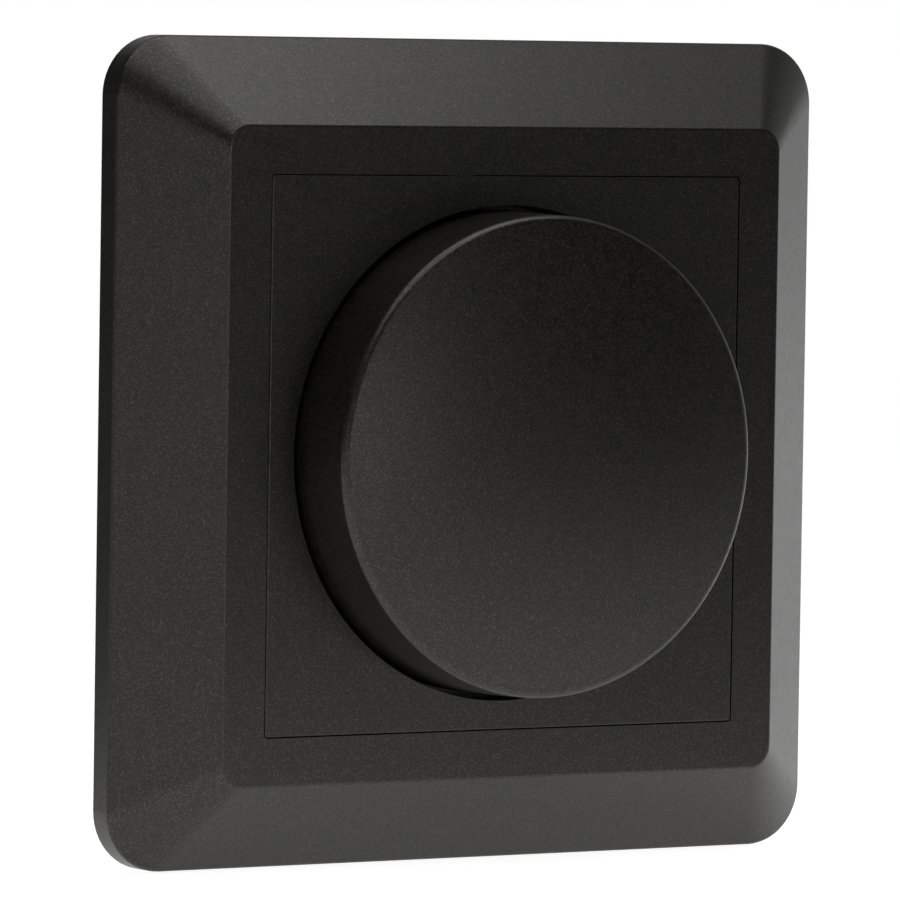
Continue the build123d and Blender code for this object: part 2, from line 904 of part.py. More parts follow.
with BuildPart() as trim_body:
    with BuildSketch(at(board_front)):
        with Locations((trim_x, trim_z)):
            Rectangle(trim_side, trim_side)
    extrude(amount=trim_height)
    with BuildSketch(at(trim_top)):
        with Locations((trim_x, trim_z)):
            Circle(trim_recess_radius)
    extrude(amount=-trim_recess, mode=Mode.SUBTRACT)

save(trim_body.part, "trim_body")

with BuildPart() as trim_rotor:
    with BuildSketch(at(trim_top - trim_recess + trim_rotor_gap)):
        with Locations((trim_x, trim_z)):
            Circle(trim_recess_radius - running_gap)
    extrude(amount=trim_recess - 2 * trim_rotor_gap)
    with BuildSketch(at(trim_top - trim_rotor_gap)):
        with Locations((trim_x, trim_z)):
            Circle(trim_stem_radius)
    extrude(amount=trim_stem_end - trim_top + trim_rotor_gap)
    with BuildSketch(at(trim_stem_end)):
        with Locations((trim_x, trim_z)):
            Rectangle(2 * trim_stem_radius, trim_slot)
    extrude(amount=-trim_slot_depth, mode=Mode.SUBTRACT)

save(trim_rotor.part, "trim_rotor")


# Choke: ring core that lies on its winding, with separate turns round it
core_back = board_front + choke_wire + choke_fit

with BuildPart() as choke_core:
    with BuildSketch(at(core_back)):
        with Locations((choke_x, choke_z)):
            Circle(choke_outer)
            Circle(choke_inner, mode=Mode.SUBTRACT)
    extrude(amount=choke_core_height)

save(choke_core.part, "choke_core")

turn_width = choke_outer - choke_inner + 2 * choke_fit
turn_height = choke_core_height + 2 * choke_fit

with BuildPart() as choke_turn:
    with BuildSketch(Plane.XZ):
        with Locations(((choke_outer + choke_inner) / 2, core_back + choke_core_height / 2)):
            Rectangle(turn_width + 2 * choke_wire, turn_height + 2 * choke_wire)
            Rectangle(turn_width, turn_height, mode=Mode.SUBTRACT)
    extrude(amount=choke_wire / 2, both=True)

with BuildPart(Plane.XZ) as choke_winding:
    with Locations((choke_x, choke_z)):
        with PolarLocations(0, choke_turns):
            add(choke_turn.part)

save(choke_winding.part, "choke_winding")


# Capacitors: two moulded boxes
with BuildPart() as film_capacitor:
    with BuildSketch(at(board_front)):
        with Locations((film_x, 0)):
            Rectangle(film_width, film_length)
    extrude(amount=film_height)
    fillet(film_capacitor.edges().filter_by(Axis.Y), film_round)

save(film_capacitor.part, "film_capacitor")

with BuildPart() as timing_capacitor:
    with BuildSketch(at(board_front)):
        with Locations((timing_x, timing_z)):
            Rectangle(timing_width, timing_length)
    extrude(amount=timing_height)
    fillet(timing_capacitor.edges().filter_by(Axis.Y), film_round)

save(timing_capacitor.part, "timing_capacitor")

# Resistors: two, standing on their leads
with BuildPart() as resistors:
    for z in resistor_z:
        with BuildSketch(at(board_front)):
            with Locations((resistor_x, z)):
                Circle(resistor_lead)
        extrude(amount=resistor_lift)
        with BuildSketch(at(board_front + resistor_lift)):
            with Locations((resistor_x, z)):
                Circle(resistor_cap_radius)
        extrude(amount=resistor_length)
        with BuildSketch(at(board_front + resistor_lift + resistor_cap)):
            with Locations((resistor_x, z)):
                Circle(resistor_cap_radius)
                Circle(resistor_radius, mode=Mode.SUBTRACT)
        extrude(amount=resistor_length - 2 * resistor_cap, mode=Mode.SUBTRACT)

save(resistors.part, "resistors")


# Cooling plate along the right wall, with the triac screwed flat against it
plate_back_x = housing_width / 2 - housing_wall - plate_metal_gap
plate_face_x = plate_back_x - plate_metal
plate_top = -lid_flange - lid_lip_depth - plate_top_gap
triac_low = board_front + triac_loose_gap
triac_middle = triac_low + triac_width / 2
triac_length = triac_body_length + triac_tab_length
triac_start = -triac_length / 2
hole_z = triac_start + triac_body_length + triac_tab_length / 2


def across(x):
    # Plane that faces -X, with coordinates (height, z)
    return Plane(origin=(x, 0, 0), x_dir=(0, -1, 0), z_dir=(-1, 0, 0))


with BuildPart() as heat_plate:
    with BuildSketch(at(board_front)):
        with Locations(((plate_face_x + plate_back_x) / 2, 0)):
            Rectangle(plate_metal, plate_metal_length)
        with Locations((plate_back_x - plate_fold / 2, (plate_metal_length - plate_metal) / 2)):
            Rectangle(plate_fold, plate_metal)
    extrude(amount=plate_top - board_front)
    with BuildSketch(across(plate_back_x)):
        with Locations((triac_middle, hole_z)):
            Circle(tab_screw_radius + running_gap)
    extrude(amount=plate_metal, mode=Mode.SUBTRACT)

save(heat_plate.part, "heat_plate")

lead_x = plate_face_x - triac_thickness / 2

with BuildPart() as triac:
    with BuildSketch(across(plate_face_x)):
        with Locations((triac_middle, triac_start + triac_body_length / 2)):
            Rectangle(triac_width, triac_body_length)
    extrude(amount=triac_thickness)
    with BuildSketch(across(plate_face_x)):
        with Locations((triac_middle, triac_start + triac_length / 2)):
            Rectangle(triac_width, triac_length)
        with Locations((triac_middle, hole_z)):
            Circle(triac_hole_radius, mode=Mode.SUBTRACT)
    extrude(amount=triac_tab)
    # Three leads, side by side along the height, that bend down to the board in turn
    for step in range(3):
        lead_height = board_front + triac_loose_gap + triac_width / 2 + (step - 1) * lead_pitch
        lead_end = triac_start - lead_reach - step * (lead_width + lead_thickness)
        with BuildSketch(Plane.YZ.offset(lead_x - lead_thickness / 2)):
            with Locations((-lead_height, (triac_start + lead_end) / 2)):
                Rectangle(lead_width, triac_start - lead_end)
            with Locations((-(lead_height + lead_width / 2 + board_front) / 2, lead_end + lead_width / 2)):
                Rectangle(lead_height + lead_width / 2 - board_front, lead_width)
        extrude(amount=lead_thickness)

save(triac.part, "triac")

with BuildPart() as triac_screw:
    with BuildSketch(across(plate_back_x)):
        with Locations((triac_middle, hole_z)):
            Circle(tab_screw_radius)
    extrude(amount=plate_metal + triac_tab)
    with BuildSketch(across(plate_face_x - triac_tab)):
        with Locations((triac_middle, hole_z)):
            Circle(tab_screw_head_radius)
    extrude(amount=tab_screw_head)
    with BuildSketch(across(plate_face_x - triac_tab - tab_screw_head)):
        with Locations((triac_middle, hole_z)):
            Rectangle(2 * tab_screw_head_radius, tab_slot)
    extrude(amount=-tab_slot, mode=Mode.SUBTRACT)

save(triac_screw.part, "triac_screw")


# Fuse: glass tube with two caps, held by two sprung clips
fuse_height = board_front + fuse_lift + fuse_cap_radius
fuse_start = fuse_x - fuse_length / 2
cap_end_wall = fuse_cap_radius - fuse_glass_radius
cap_inner = fuse_glass_radius + running_gap / 2

with BuildPart() as fuse_tube:
    with BuildSketch(across(fuse_start + fuse_length - cap_end_wall)):
        with Locations((fuse_height, fuse_z)):
            Circle(fuse_glass_radius)
    extrude(amount=fuse_length - 2 * cap_end_wall)

save(fuse_tube.part, "fuse_tube")

with BuildPart() as fuse_caps:
    with BuildSketch(across(fuse_start + fuse_length)):
        with Locations((fuse_height, fuse_z)):
            Circle(fuse_cap_radius)
    extrude(amount=fuse_cap_length)
    with BuildSketch(across(fuse_start + fuse_cap_length)):
        with Locations((fuse_height, fuse_z)):
            Circle(fuse_cap_radius)
    extrude(amount=fuse_cap_length)
    with BuildSketch(across(fuse_start + fuse_length - cap_end_wall)):
        with Locations((fuse_height, fuse_z)):
            Circle(cap_inner)
    extrude(amount=fuse_length - 2 * cap_end_wall, mode=Mode.SUBTRACT)

save(fuse_caps.part, "fuse_caps")

clip_bore = fuse_cap_radius + running_gap
clip_inset = (fuse_cap_length - clip_strip) / 2

with BuildPart() as fuse_clips:
    for clip_end in (fuse_start + clip_inset + clip_strip, fuse_start + fuse_length - clip_inset):
        with BuildSketch(across(clip_end)):
            with Locations((board_front + clip_arm_height / 2, fuse_z)):
                Rectangle(clip_arm_height, 2 * (clip_bore + clip_sheet))
            with Locations((board_front + clip_sheet + clip_arm_height / 2, fuse_z)):
                Rectangle(clip_arm_height, 2 * clip_bore, mode=Mode.SUBTRACT)
        extrude(amount=clip_strip)

save(fuse_clips.part, "fuse_clips")


# Terminals: block with open cells on the board's back, a cage and a clamp screw in each
cell_low = cage_low - terminal_cell_gap
cell_high = cage_high + terminal_cell_gap

with BuildPart() as terminal_block:
    with BuildSketch(at(terminal_back)):
        with Locations((0, terminal_middle)):
            Rectangle(terminal_block_width, terminal_block_high - terminal_block_low)
    extrude(amount=board_back - terminal_back)
    with BuildSketch(at(cell_back)):
        with Locations((0, (cell_low + cell_high) / 2)):
            with GridLocations(terminal_pitch, 0, terminal_count, 1):
                Rectangle(cage_width + 2 * terminal_cell_gap, cell_high - cell_low)
    extrude(amount=cage_depth, mode=Mode.SUBTRACT)
    with BuildSketch(at(terminal_back)):
        with Locations((0, wire_z)):
            with GridLocations(terminal_pitch, 0, terminal_count, 1):
                Circle(wire_guide_radius)
    extrude(amount=terminal_back_wall, mode=Mode.SUBTRACT)
    with BuildSketch(Plane.XY.offset(terminal_block_low)):
        with Locations((0, -clamp_height)):
            with GridLocations(terminal_pitch, 0, terminal_count, 1):
                Circle(clamp_access_radius)
    extrude(amount=cell_low - terminal_block_low, mode=Mode.SUBTRACT)

save(terminal_block.part, "terminal_block")

wire_wall = wire_z - wire_radius

with BuildPart() as terminal_cages:
    with BuildSketch(at(cell_back)):
        with Locations((0, (cage_low + cage_high) / 2)):
            with GridLocations(terminal_pitch, 0, terminal_count, 1):
                Rectangle(cage_width, cage_high - cage_low)
    extrude(amount=cage_depth)
    with BuildSketch(at(cell_back)):
        with Locations((0, wire_z)):
            with GridLocations(terminal_pitch, 0, terminal_count, 1):
                Circle(wire_radius)
    extrude(amount=cage_depth, mode=Mode.SUBTRACT)
    with BuildSketch(Plane.XY.offset(cage_low)):
        with Locations((0, -clamp_height)):
            with GridLocations(terminal_pitch, 0, terminal_count, 1):
                Circle(clamp_screw_radius + running_gap)
    extrude(amount=wire_z - cage_low, mode=Mode.SUBTRACT)

save(terminal_cages.part, "terminal_cages")

clamp_head_low = cage_low - running_gap - clamp_screw_head

with BuildPart() as terminal_screws:
    with BuildSketch(Plane.XY.offset(clamp_head_low)):
        with Locations((0, -clamp_height)):
            with GridLocations(terminal_pitch, 0, terminal_count, 1):
                Circle(clamp_screw_head_radius)
    extrude(amount=clamp_screw_head)
    with BuildSketch(Plane.XY.offset(clamp_head_low + clamp_screw_head)):
        with Locations((0, -clamp_height)):
            with GridLocations(terminal_pitch, 0, terminal_count, 1):
                Circle(clamp_screw_radius)
    extrude(amount=wire_wall - clamp_tip_gap - clamp_head_low - clamp_screw_head)
    with BuildSketch(Plane.XY.offset(clamp_head_low)):
        with Locations((0, -clamp_height)):
            with GridLocations(terminal_pitch, 0, terminal_count, 1):
                Rectangle(2 * clamp_screw_head_radius, clamp_slot)
    extrude(amount=clamp_slot, mode=Mode.SUBTRACT)

save(terminal_screws.part, "terminal_screws")
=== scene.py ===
import math

import bpy
from mathutils import Matrix, Vector


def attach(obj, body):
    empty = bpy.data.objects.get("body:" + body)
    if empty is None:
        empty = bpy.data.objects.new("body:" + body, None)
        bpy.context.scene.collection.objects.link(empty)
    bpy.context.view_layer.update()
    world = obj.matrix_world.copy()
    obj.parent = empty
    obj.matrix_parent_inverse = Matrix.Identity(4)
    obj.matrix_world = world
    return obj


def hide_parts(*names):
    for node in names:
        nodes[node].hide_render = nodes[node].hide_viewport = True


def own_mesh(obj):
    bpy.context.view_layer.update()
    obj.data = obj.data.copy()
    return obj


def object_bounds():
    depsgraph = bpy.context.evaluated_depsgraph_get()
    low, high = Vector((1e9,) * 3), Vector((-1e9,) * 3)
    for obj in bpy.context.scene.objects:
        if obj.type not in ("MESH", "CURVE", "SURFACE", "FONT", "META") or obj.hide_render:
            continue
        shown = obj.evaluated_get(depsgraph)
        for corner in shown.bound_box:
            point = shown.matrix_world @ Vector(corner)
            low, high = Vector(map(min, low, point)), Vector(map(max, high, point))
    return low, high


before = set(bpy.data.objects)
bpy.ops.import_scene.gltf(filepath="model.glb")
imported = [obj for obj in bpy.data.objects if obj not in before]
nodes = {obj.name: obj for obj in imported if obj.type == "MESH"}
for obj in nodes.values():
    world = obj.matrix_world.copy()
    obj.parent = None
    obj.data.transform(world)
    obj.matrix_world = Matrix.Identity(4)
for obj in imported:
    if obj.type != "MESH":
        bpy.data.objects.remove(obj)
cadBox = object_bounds()
print("dimmer loaded:", len(nodes), "nodes")


# Small helpers for the node trees
def startFinish(name, shaderValues):
    finish = bpy.data.materials.new(name)
    finish.use_nodes = True
    shader = finish.node_tree.nodes["Principled BSDF"]
    for socket, value in shaderValues.items():
        shader.inputs[socket].default_value = value
    point = finish.node_tree.nodes.new("ShaderNodeTexCoord").outputs["Object"]
    return finish, shader, point


def addNode(finish, kind, links=None, values=None, **settings):
    node = finish.node_tree.nodes.new(kind)
    for key, value in settings.items():
        setattr(node, key, value)
    for socket, value in (values or {}).items():
        node.inputs[socket].default_value = value
    for socket, source in (links or {}).items():
        finish.node_tree.links.new(source, node.inputs[socket])
    return node


def stretched(finish, point, scale, turn=(0, 0, 0)):
    return addNode(
        finish, "ShaderNodeMapping", {"Vector": point}, {"Scale": scale, "Rotation": turn}
    ).outputs["Vector"]


def noiseAt(finish, point, scale, detail=3.0, roughness=0.5):
    return addNode(
        finish,
        "ShaderNodeTexNoise",
        {"Vector": point},
        {"Scale": scale, "Detail": detail, "Roughness": roughness},
    ).outputs["Fac"]


def between(finish, factor, low, high, fromLow=0.3, fromHigh=0.7):
    return addNode(
        finish,
        "ShaderNodeMapRange",
        {"Value": factor},
        {"From Min": fromLow, "From Max": fromHigh, "To Min": low, "To Max": high},
    ).outputs["Result"]


def colourRamp(finish, factor, places, colours):
    ramp = addNode(finish, "ShaderNodeValToRGB", {"Fac": factor})
    for element, place, colour in zip(ramp.color_ramp.elements, places, colours):
        element.position = place
        element.color = (*colour, 1)
    return ramp.outputs["Color"]


def tinted(colour, shares):
    return [part * share for part, share in zip(colour, shares)]


def product(finish, one, other):
    return addNode(finish, "ShaderNodeMath", {0: one, 1: other}, operation="MULTIPLY").outputs[0]


def bumpFrom(finish, shader, height, strength, distance, under=None):
    bump = addNode(
        finish,
        "ShaderNodeBump",
        {"Height": height, **({"Normal": under} if under else {})},
        {"Strength": strength, "Distance": distance},
    )
    finish.node_tree.links.new(bump.outputs["Normal"], shader.inputs["Normal"])
    return bump.outputs["Normal"]


def join(finish, source, shader, socket):
    finish.node_tree.links.new(source, shader.inputs[socket])


def shadeBy(finish, shader, factor, look):
    tone = colourRamp(finish, factor, look["stops"], (look["dark"], look["light"]))
    join(finish, tone, shader, "Base Color")
    join(finish, between(finish, factor, *look["rough"]), shader, "Roughness")


# Cover frame, centre plate and dial: dark satin paint with metal flakes
anthraciteLook = {
    "refraction": 1.5,
    "dark": (0.0030, 0.0030, 0.0026),
    "light": (0.0048, 0.0048, 0.0042),
    "clouds": {"scale": 180, "detail": 4},
    "stops": (0.35, 0.65),
    "flake": (0.098, 0.089, 0.080),
    "flakesPerMetre": 9800,
    "flakeShare": 0.34,
    "flakeEdge": 0.02,
    "rough": (0.30, 0.34),
    "satin": {"scale": 900, "detail": 3},
    "grain": {"scale": 5200, "detail": 2},
    "grainStrength": 0.35,
    "grainDepth": 0.000012,
    "crownMiddle": (0.0028, 0.0029),
}


def anthracite(look):
    finish, shader, point = startFinish("anthracitePaint", {"IOR": look["refraction"]})
    clouds = noiseAt(finish, point, **look["clouds"])
    tone = colourRamp(finish, clouds, look["stops"], (look["dark"], look["light"]))
    cells = addNode(
        finish, "ShaderNodeTexVoronoi", {"Vector": point}, {"Scale": look["flakesPerMetre"]}
    )
    chance = addNode(finish, "ShaderNodeSeparateColor", {"Color": cells.outputs["Color"]})
    edge = 1 - look["flakeShare"]
    flake = between(finish, chance.outputs["Red"], 0, 1, edge, edge + look["flakeEdge"])
    glint = product(finish, flake, chance.outputs["Green"])
    blend = addNode(
        finish, "ShaderNodeMixRGB", {"Fac": glint, "Color1": tone}, {"Color2": (*look["flake"], 1)}
    )
    join(finish, blend.outputs["Color"], shader, "Base Color")
    join(finish, glint, shader, "Metallic")
    satin = between(finish, noiseAt(finish, point, **look["satin"]), *look["rough"])
    join(finish, satin, shader, "Roughness")
    grain = noiseAt(finish, point, **look["grain"])
    # The mesh's normal is off in the middle of the dial's crown, so the faces' own counts there
    fromAxis = addNode(
        finish, "ShaderNodeVectorMath", {0: stretched(finish, point, (1, 0, 1))}, operation="LENGTH"
    )
    inner, outer = look["crownMiddle"]
    middle = between(finish, fromAxis.outputs["Value"], 1, 0, inner, outer)
    surface = addNode(finish, "ShaderNodeNewGeometry").outputs
    facing = addNode(
        finish,
        "ShaderNodeMixRGB",
        {"Fac": middle, "Color1": surface["Normal"], "Color2": surface["True Normal"]},
    ).outputs["Color"]
    bumpFrom(finish, shader, grain, look["grainStrength"], look["grainDepth"], facing)
    return finish


# Insert and inner pieces: one routine for each way of making
mouldedLook = {
    "refraction": 1.49,
    "darker": (0.9, 0.9, 0.9),
    "lighter": (1.1, 1.09, 1.07),
    "clouds": {"scale": 90, "detail": 5, "roughness": 0.6},
    "stops": (0.3, 0.7),
    "satin": {"scale": 260, "detail": 4},
    "satinSpread": 0.06,
    "flow": {"scale": 1.0, "detail": 2},
    "flowStretch": (60, 400, 60),
    "flowStrength": 0.1,
    "grainDetail": 2,
    "grainStrength": 0.5,
}
mouldedSlots = {
    "case_grey": {"colour": (0.115, 0.117, 0.122), "rough": 0.52, "grain": 3200, "depth": 0.00003},
    "white_plastic": {"colour": (0.72, 0.70, 0.64), "rough": 0.42, "grain": 2400, "depth": 0.00001},
    "black_plastic": {"colour": (0.018, 0.018, 0.019), "rough": 0.46, "grain": 2800, "depth": 0.00002},
    "blue_plastic": {"colour": (0.02, 0.075, 0.33), "rough": 0.38, "grain": 2600, "depth": 0.00001},
    "film_yellow": {"colour": (0.68, 0.40, 0.06), "rough": 0.33, "grain": 700, "depth": 0.00003},
    "resistor_body": {"colour": (0.52, 0.42, 0.27), "rough": 0.3, "grain": 1500, "depth": 0.00002},
}


def moulded(slot, look):
    finish, shader, point = startFinish(slot + "Moulding", {"IOR": look["refraction"]})
    clouds = noiseAt(finish, point, **look["clouds"])
    shades = [tinted(look["colour"], look[key]) for key in ("darker", "lighter")]
    join(finish, colourRamp(finish, clouds, look["stops"], shades), shader, "Base Color")
    smoother, rougher = look["rough"] - look["satinSpread"], look["rough"] + look["satinSpread"]
    satin = between(finish, noiseAt(finish, point, **look["satin"]), smoother, rougher)
    join(finish, satin, shader, "Roughness")
    flow = noiseAt(finish, stretched(finish, point, look["flowStretch"]), **look["flow"])
    slow = bumpFrom(finish, shader, flow, look["flowStrength"], look["depth"])
    grain = noiseAt(finish, point, look["grain"], look["grainDetail"])
    bumpFrom(finish, shader, grain, look["grainStrength"], look["depth"], slow)
    return finish


metalLook = {
    "clouds": {"scale": 55, "detail": 5, "roughness": 0.6},
    "stops": (0.38, 0.62),
    "streak": {"scale": 6.0, "detail": 4, "roughness": 0.65},
    "streakSpread": (-0.09, 0.1),
    "streakStrength": 0.25,
    "streakDepth": 0.00001,
}
metalSlots = {
    "zinc_steel": {
        "colour": (0.60, 0.62, 0.64),
        "tint": (0.66, 0.63, 0.52),
        "rough": 0.34,
        "roll": (30, 900, 900),
    },
    "nickel": {
        "colour": (0.66, 0.62, 0.56),
        "tint": (0.56, 0.53, 0.49),
        "rough": 0.22,
        "roll": (500, 60, 500),
    },
    "spring_steel": {
        "colour": (0.50, 0.51, 0.53),
        "tint": (0.40, 0.41, 0.44),
        "rough": 0.26,
        "roll": (500, 80, 500),
    },
    "spring_brass": {
        "colour": (0.76, 0.56, 0.24),
        "tint": (0.62, 0.40, 0.16),
        "rough": 0.28,
        "roll": (40, 700, 700),
    },
    "brass": {
        "colour": (0.74, 0.55, 0.25),
        "tint": (0.58, 0.38, 0.15),
        "rough": 0.3,
        "roll": (600, 50, 600),
    },
    "aluminium": {
        "colour": (0.70, 0.71, 0.72),
        "tint": (0.62, 0.63, 0.65),
        "rough": 0.3,
        "roll": (700, 700, 40),
    },
    "die_cast": {
        "colour": (0.50, 0.50, 0.49),
        "tint": (0.42, 0.42, 0.42),
        "rough": 0.44,
        "roll": (400, 400, 400),
    },
}


def rolledMetal(slot, look):
    finish, shader, point = startFinish(slot + "Sheet", {"Metallic": 1.0})
    clouds = noiseAt(finish, point, **look["clouds"])
    tone = colourRamp(finish, clouds, look["stops"], (look["tint"], look["colour"]))
    join(finish, tone, shader, "Base Color")
    streak = noiseAt(finish, stretched(finish, point, look["roll"]), **look["streak"])
    smoother, rougher = (look["rough"] + step for step in look["streakSpread"])
    join(finish, between(finish, streak, smoother, rougher), shader, "Roughness")
    bumpFrom(finish, shader, streak, look["streakStrength"], look["streakDepth"])
    return finish


boardLook = {
    "refraction": 1.5,
    "rough": 0.26,
    "mask": (0.008, 0.11, 0.045),
    "track": (0.03, 0.20, 0.07),
    "pitch": 0.00254,
    "tracksPerPitch": 8,
    "pitchesLong": 3,
    "etchStrength": 0.4,
    "etchDepth": 0.00003,
}


def lacqueredBoard(slot, look):
    finish, shader, point = startFinish(
        slot + "Lacquer", {"Roughness": look["rough"], "IOR": look["refraction"]}
    )
    face = stretched(finish, point, (1, 1, 1), (math.pi / 2, 0, 0))
    mask, track = (*look["mask"], 1), (*look["track"], 1)
    tracks = addNode(
        finish,
        "ShaderNodeTexBrick",
        {"Vector": face},
        {
            "Color1": mask,
            "Color2": mask,
            "Mortar": track,
            "Scale": 1.0,
            "Mortar Size": look["pitch"] / look["tracksPerPitch"],
            "Brick Width": look["pitch"] * look["pitchesLong"],
            "Row Height": look["pitch"],
        },
    ).outputs
    join(finish, tracks["Color"], shader, "Base Color")
    bumpFrom(finish, shader, tracks["Fac"], look["etchStrength"], look["etchDepth"])
    return finish


resinLook = {
    "refraction": 1.53,
    "dark": (0.10, 0.045, 0.018),
    "light": (0.19, 0.095, 0.04),
    "stops": (0.35, 0.65),
    "rough": (0.34, 0.5),
    "fibre": {"scale": 2.0, "detail": 5, "roughness": 0.7},
    "fibreStretch": (300, 2500, 900),
    "fibreStrength": 0.2,
    "fibreDepth": 0.00001,
}


def pressedResin(slot, look):
    finish, shader, point = startFinish(slot + "Laminate", {"IOR": look["refraction"]})
    fibre = noiseAt(finish, stretched(finish, point, look["fibreStretch"]), **look["fibre"])
    shadeBy(finish, shader, fibre, look)
    bumpFrom(finish, shader, fibre, look["fibreStrength"], look["fibreDepth"])
    return finish


ferriteLook = {
    "refraction": 1.6,
    "dark": (0.028, 0.027, 0.027),
    "light": (0.06, 0.058, 0.056),
    "stops": (0.35, 0.7),
    "rough": (0.5, 0.68),
    "grain": {"scale": 2600, "detail": 5, "roughness": 0.7},
    "grainStrength": 0.5,
    "grainDepth": 0.00003,
}


def sintered(slot, look):
    finish, shader, point = startFinish(slot + "Sinter", {"IOR": look["refraction"]})
    grain = noiseAt(finish, point, **look["grain"])
    shadeBy(finish, shader, grain, look)
    bumpFrom(finish, shader, grain, look["grainStrength"], look["grainDepth"])
    return finish


wireLook = {
    "metal": 0.85,
    "coat": 0.8,
    "coatRough": 0.1,
    "dark": (0.36, 0.09, 0.03),
    "light": (0.55, 0.17, 0.055),
    "stops": (0.35, 0.65),
    "rough": (0.16, 0.28),
    "drift": {"scale": 700, "detail": 4},
}


def enamelled(slot, look):
    coat = {"Coat Weight": look["coat"], "Coat Roughness": look["coatRough"]}
    finish, shader, point = startFinish(slot + "Enamel", {"Metallic": look["metal"], **coat})
    shadeBy(finish, shader, noiseAt(finish, point, **look["drift"]), look)
    return finish


glassLook = {
    "refraction": 1.5,
    "clear": (0.94, 0.96, 0.94),
    "rough": (0.02, 0.09),
    "wipe": {"scale": 400, "detail": 4},
}


def fuseGlass(slot, look):
    clear = {"Base Color": (*look["clear"], 1), "Transmission Weight": 1.0}
    finish, shader, point = startFinish(slot + "Tube", {**clear, "IOR": look["refraction"]})
    wipe = noiseAt(finish, point, **look["wipe"])
    join(finish, between(finish, wipe, *look["rough"]), shader, "Roughness")
    return finish


finishes = {"anthracite": anthracite(anthraciteLook)}
for slot, look in mouldedSlots.items():
    finishes[slot] = moulded(slot, {**mouldedLook, **look})
for slot, look in metalSlots.items():
    finishes[slot] = rolledMetal(slot, {**metalLook, **look})
finishes["board_green"] = lacqueredBoard("board_green", boardLook)
finishes["resin_brown"] = pressedResin("resin_brown", resinLook)
finishes["ferrite"] = sintered("ferrite", ferriteLook)
finishes["enamel_wire"] = enamelled("enamel_wire", wireLook)
finishes["fuse_glass"] = fuseGlass("fuse_glass", glassLook)

for node in nodes.values():
    for materialSlot in node.material_slots:
        materialSlot.material = finishes[materialSlot.material.name.split(".")[0]]
print("finishes given:", len(finishes))

# The return spring stands on the switch case; a merged, smoothed copy goes with the push carriage
springLook = {"slot": "spring_steel", "travel": 0.0012, "merge": 0.000001, "smooth": 40}


def windSpring(look):
    spring = bpy.data.objects.new("woundSpring", nodes["return_spring"].data.copy())
    bpy.context.scene.collection.objects.link(spring)
    bpy.ops.object.select_all(action="DESELECT")
    spring.select_set(True)
    bpy.context.view_layer.objects.active = spring
    bpy.ops.object.mode_set(mode="EDIT")
    bpy.ops.mesh.select_all(action="SELECT")
    bpy.ops.mesh.remove_doubles(threshold=look["merge"])
    bpy.ops.object.mode_set(mode="OBJECT")
    bpy.ops.object.shade_smooth_by_angle(angle=math.radians(look["smooth"]))
    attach(spring, "push_carriage")
    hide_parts("return_spring")
    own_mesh(spring)
    print("return spring wound")


windSpring(springLook)


# Camera at the photograph's angle, fitted from the frame's corners and the dial's ring
cameraLook = {
    "yaw": -32.399,
    "height": 2.768,
    "roll": 0.867,
    "distance": 0.8335,
    "lens": 332.2,
    "sensor": 36,
    "shift": (-0.00231, -0.00196),
    "clip": (0.05, 20),
}


def direction(turn, lift):
    return Vector((math.sin(turn) * math.cos(lift), -math.cos(turn) * math.cos(lift), math.sin(lift)))


def placeCamera(look):
    yaw, lift, roll = (math.radians(look[key]) for key in ("yaw", "height", "roll"))
    back = direction(yaw, lift)
    side = Vector((math.cos(yaw), math.sin(yaw), 0))
    up = back.cross(side)
    right = math.cos(roll) * side + math.sin(roll) * up
    top = math.cos(roll) * up - math.sin(roll) * side
    camera = bpy.data.objects.new("photoCamera", bpy.data.cameras.new("photoCamera"))
    bpy.context.scene.collection.objects.link(camera)
    turn = Matrix((right, top, back)).transposed().to_4x4()
    camera.matrix_world = Matrix.Translation(back * look["distance"]) @ turn
    camera.data.lens = look["lens"]
    camera.data.sensor_width = look["sensor"]
    camera.data.shift_x, camera.data.shift_y = look["shift"]
    camera.data.clip_start, camera.data.clip_end = look["clip"]
    bpy.context.scene.camera = camera


placeCamera(cameraLook)

# Pale floor and soft studio light, both laid out along the camera's line of sight
cameraYaw = math.radians(cameraLook["yaw"])
towardsCamera = direction(cameraYaw, 0)
cameraRight = Vector((-towardsCamera.y, towardsCamera.x, 0))
floorLook = {
    "colour": (0.8, 0.8, 0.8),
    "shade": (0.97, 0.97, 0.97),
    "stops": (0.3, 0.7),
    "fibre": {"scale": 300, "detail": 3},
    "rough": 0.8,
    "reach": {"right": 1.0, "left": 0.8, "front": 0.75, "back": 1.2},
    "gap": 0.0002,
    "seen": 0.92,
    "left": 0.77,
    "middle": 0.45,
    "behind": 1.0,
    "leftBehind": 0.02,
    "leftEnd": (0.05, 0.1),
    "rightEnd": (0.22, 0.28),
    "behindEnd": (-0.06, 0.0),
    "behindSide": (-0.08, 0.04),
}


def along(finish, point, way, low, high, span):
    reach = addNode(finish, "ShaderNodeVectorMath", {0: point}, {1: way}, operation="DOT_PRODUCT")
    return between(finish, reach.outputs["Value"], low, high, *span)


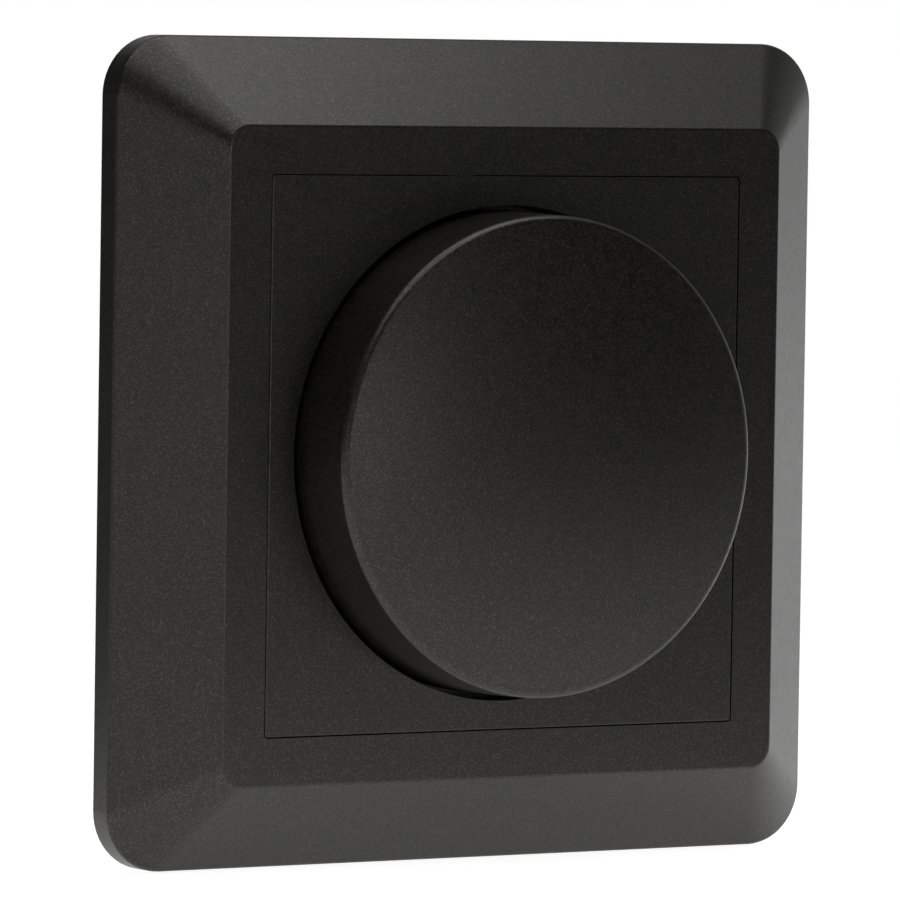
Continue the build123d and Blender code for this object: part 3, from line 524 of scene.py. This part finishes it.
def layFloor(look):
    low = cadBox[0][2] - look["gap"]
    reach = look["reach"]
    aside, ahead = (reach["right"] - reach["left"]) / 2, (reach["front"] - reach["back"]) / 2
    middle = cameraRight * aside + towardsCamera * ahead
    bpy.ops.mesh.primitive_plane_add(size=1, location=(middle.x, middle.y, low))
    floor = bpy.context.object
    floor.scale = (reach["right"] + reach["left"], reach["front"] + reach["back"], 1)
    floor.rotation_euler.z = cameraYaw
    bpy.ops.object.transform_apply(location=True, rotation=True, scale=True)
    floor.name = "paleFloor"
    paper, shader, point = startFinish(
        "palePaper", {"Roughness": look["rough"], "Emission Color": (1, 1, 1, 1)}
    )
    fibre = noiseAt(paper, point, **look["fibre"])
    shades = (look["colour"], tinted(look["colour"], look["shade"]))
    join(paper, colourRamp(paper, fibre, look["stops"], shades), shader, "Base Color")
    # The paper shines back on the part by place, and is even where it is looked at
    left = along(paper, point, cameraRight, look["left"], look["middle"], look["leftEnd"])
    right = along(paper, point, cameraRight, 1, 0, look["rightEnd"])
    front = product(paper, left, right)
    rear = along(paper, point, towardsCamera, 1, 0, look["behindEnd"])
    behind = along(paper, point, cameraRight, look["leftBehind"], look["behind"], look["behindSide"])
    glow = addNode(
        paper, "ShaderNodeMapRange", {"Value": rear, "To Min": front, "To Max": behind}
    ).outputs["Result"]
    lookedAt = addNode(paper, "ShaderNodeLightPath").outputs["Is Camera Ray"]
    strength = addNode(
        paper, "ShaderNodeMapRange", {"Value": lookedAt, "To Min": glow}, {"To Max": look["seen"]}
    ).outputs["Result"]
    join(paper, strength, shader, "Emission Strength")
    floor.data.materials.append(paper)


layFloor(floorLook)

# Each panel stands at an angle from the dial's axis, to the right, and at a height angle
panels = {
    "keyLeft": {"angle": -47, "height": 5, "far": 1.1, "size": (0.5, 0.4), "bright": 0.48},
    "keyRight": {"angle": 10, "height": 8, "far": 1.2, "size": (0.4, 0.5), "bright": 0.54},
    "lowStrip": {"angle": 5, "height": -0.5, "far": 1.0, "size": (0.4, 0.06), "bright": 4.6},
    "rightFill": {"angle": 112, "height": 2, "far": 0.7, "size": (0.4, 0.2), "bright": 0.37},
    "topNear": {"angle": -31, "height": 75, "far": 0.228, "size": (0.25, 0.3), "bright": 1.35},
    "topWide": {"angle": 60, "height": 70, "far": 0.42, "size": (0.2, 0.3), "bright": 0.86},
}


def hangPanel(name, look):
    light = bpy.data.lights.new(name, "AREA")
    light.shape = "RECTANGLE"
    light.size, light.size_y = look["size"]
    light.energy = look["bright"] * math.pi * light.size * light.size_y
    panel = bpy.data.objects.new(name, light)
    bpy.context.scene.collection.objects.link(panel)
    turn, lift = math.radians(look["angle"]), math.radians(look["height"])
    panel.location = direction(turn, lift) * look["far"]
    panel.rotation_euler = panel.location.to_track_quat("Z", "Y").to_euler()
    panel.visible_camera = False


for name, look in panels.items():
    hangPanel(name, look)

# The room: white where the camera looks, bright behind to the right, dim elsewhere
studioLook = {
    "seen": 1.0,
    "fill": 0.01,
    "rightBehind": 0.35,
    "leftSide": 0.03,
    "above": 0.02,
    "aside": 0.4,
    "fade": (0.35, 0.8),
}


def paintStudio(look):
    world = bpy.data.worlds.new("studio")
    bpy.context.scene.world = world
    world.use_nodes = True
    tree = world.node_tree
    tree.nodes.clear()
    point = tree.nodes.new("ShaderNodeTexCoord").outputs["Generated"]
    rightBehind = (look["aside"] * cameraRight - towardsCamera).normalized()
    ways = {"rightBehind": rightBehind, "leftSide": -cameraRight, "above": Vector((0, 0, 1))}
    start, end = look["fade"]
    glow = None
    for key, way in ways.items():
        dot = tree.nodes.new("ShaderNodeVectorMath")
        dot.operation = "DOT_PRODUCT"
        dot.inputs[1].default_value = way
        tree.links.new(point, dot.inputs[0])
        soft = tree.nodes.new("ShaderNodeMapRange")
        soft.name = key
        soft.interpolation_type = "SMOOTHSTEP"
        for socket, value in (("From Min", start), ("From Max", end), ("To Max", look[key])):
            soft.inputs[socket].default_value = value
        tree.links.new(dot.outputs["Value"], soft.inputs["Value"])
        more = tree.nodes.new("ShaderNodeMath")
        more.inputs[0].default_value = look["fill"]
        if glow:
            tree.links.new(glow, more.inputs[0])
        tree.links.new(soft.outputs["Result"], more.inputs[1])
        glow = more.outputs[0]
    mix = tree.nodes.new("ShaderNodeMixShader")
    path = tree.nodes.new("ShaderNodeLightPath")
    tree.links.new(path.outputs["Is Camera Ray"], mix.inputs["Fac"])
    room = tree.nodes.new("ShaderNodeBackground")
    tree.links.new(glow, room.inputs["Strength"])
    seen = tree.nodes.new("ShaderNodeBackground")
    for air in (room, seen):
        air.inputs["Color"].default_value = (1, 1, 1, 1)
    seen.inputs["Strength"].default_value = look["seen"]
    tree.links.new(room.outputs["Background"], mix.inputs[1])
    tree.links.new(seen.outputs["Background"], mix.inputs[2])
    out = tree.nodes.new("ShaderNodeOutputWorld")
    tree.links.new(mix.outputs["Shader"], out.inputs["Surface"])


paintStudio(studioLook)
bpy.context.scene.view_settings.view_transform = "Standard"
print("camera, floor and light set")
